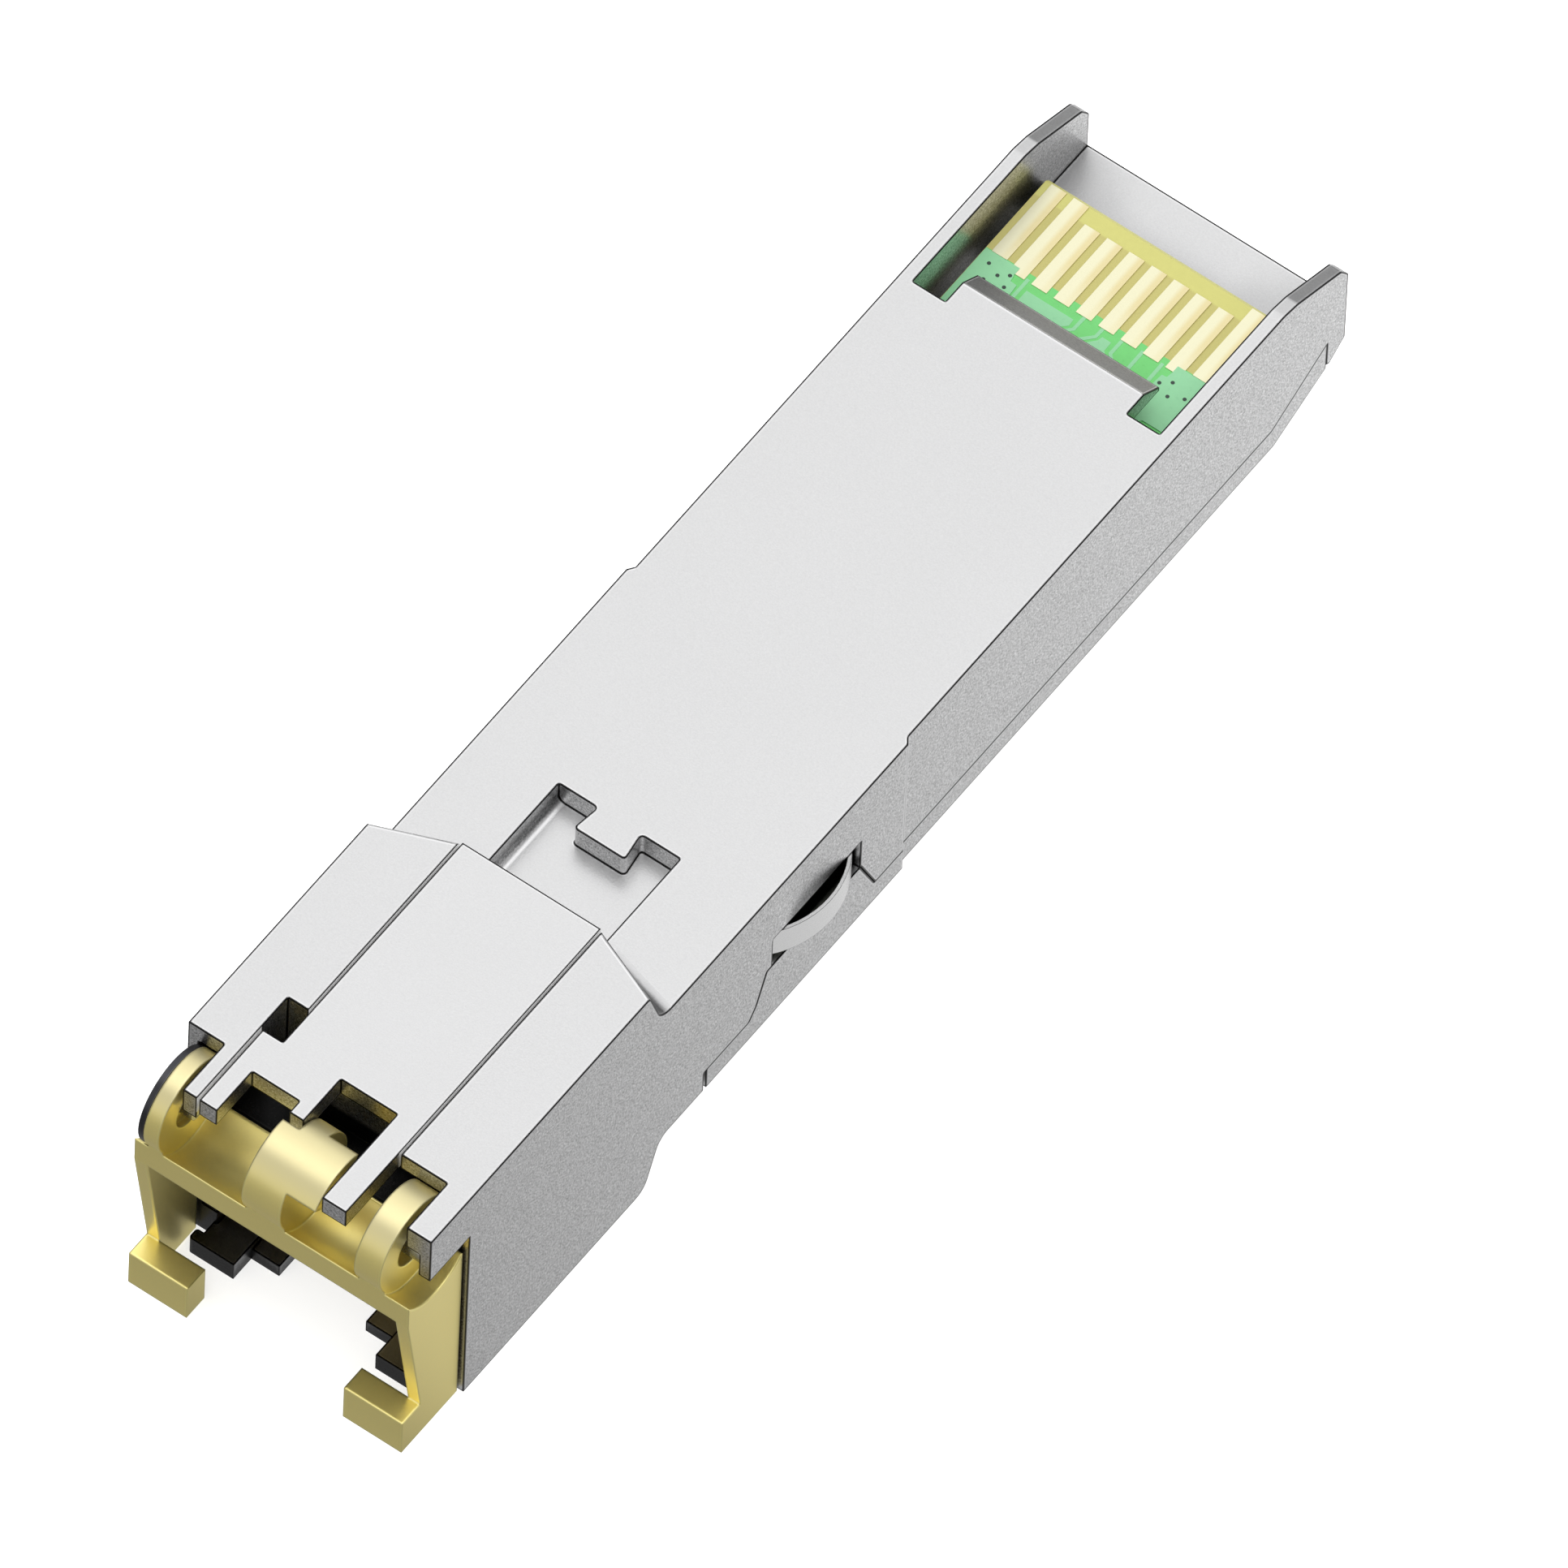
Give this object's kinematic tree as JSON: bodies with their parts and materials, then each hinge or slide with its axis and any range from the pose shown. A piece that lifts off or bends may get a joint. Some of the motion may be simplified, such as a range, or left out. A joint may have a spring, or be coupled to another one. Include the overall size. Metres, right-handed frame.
{
  "type": "copper network transceiver module",
  "caption": "Small pluggable network module with a modular-plug socket at one end, a card edge at the other, and a gold bail that works a sliding release plate.",
  "frame": {"origin": "below the middle of the outline, in the plane of the nose's underside", "axes": "+Y from the socket end to the card-edge end, +Z out of the latch face, X across the width"},
  "size_m": [0.015, 0.0626, 0.0136],
  "materials": {
    "satin_case": "fine satin nickel plate over die-cast zinc",
    "satin_slider": "fine satin nickel plate over die-cast zinc",
    "gold_bail": "smooth satin brass-coloured plate",
    "dark_steel": "blackened, satin",
    "pin_steel": "bright, plain turned",
    "spring_steel": "satin strip",
    "black_moulding": "fine matt moulding",
    "contact_gold": "gold plated, bright",
    "board_laminate": "green solder mask over yellow-green laminate",
    "pad_gold": "pale gold plated, smooth",
    "chip_black": "matt epoxy",
    "crystal_metal": "plain metal lid",
    "ferrite_grey": "matt ferrite",
    "ceramic_tan": "glazed ceramic",
    "pad_grey": "soft matt silicone"
  },
  "bodies": {
    "case": {"housing": "satin_case", "cover": "satin_case", "pivot_pin_left": "pin_steel", "pivot_retainer_plate": "dark_steel", "pivot_pin_right": "pin_steel", "ground_spring_left": "spring_steel", "ground_spring_right": "spring_steel", "jack_insulator": "black_moulding", "contact_carrier": "black_moulding", "jack_contacts": "contact_gold", "main_board": "board_laminate", "edge_pads_latch_side": "pad_gold", "edge_pads_cover_side": "pad_gold", "phy_chip": "chip_black", "thermal_pad": "pad_grey", "magnetics_module": "chip_black", "power_inductor": "ferrite_grey", "crystal_can": "crystal_metal", "memory_chip": "chip_black", "capacitors": "ceramic_tan", "resistors": "chip_black"},
    "bail": {"bail": "gold_bail"},
    "release_plate": {"latch_slider": "satin_slider"}
  },
  "joints": [
    {"name": "bail_hinge", "type": "hinge", "parent": "case", "child": "bail", "pos_m": [0, -0.02909, 0.01127], "axis": [-1, 0, 0], "range_deg": [0, 75]},
    {"name": "release_slide", "type": "slide", "parent": "case", "child": "release_plate", "axis": [0, 1, 0], "range_m": [0, 0.0018]}
  ],
  "couplings": [
    {"joint": "bail_hinge", "follows": "release_slide", "rad_per_m": 727.22}
  ]
}
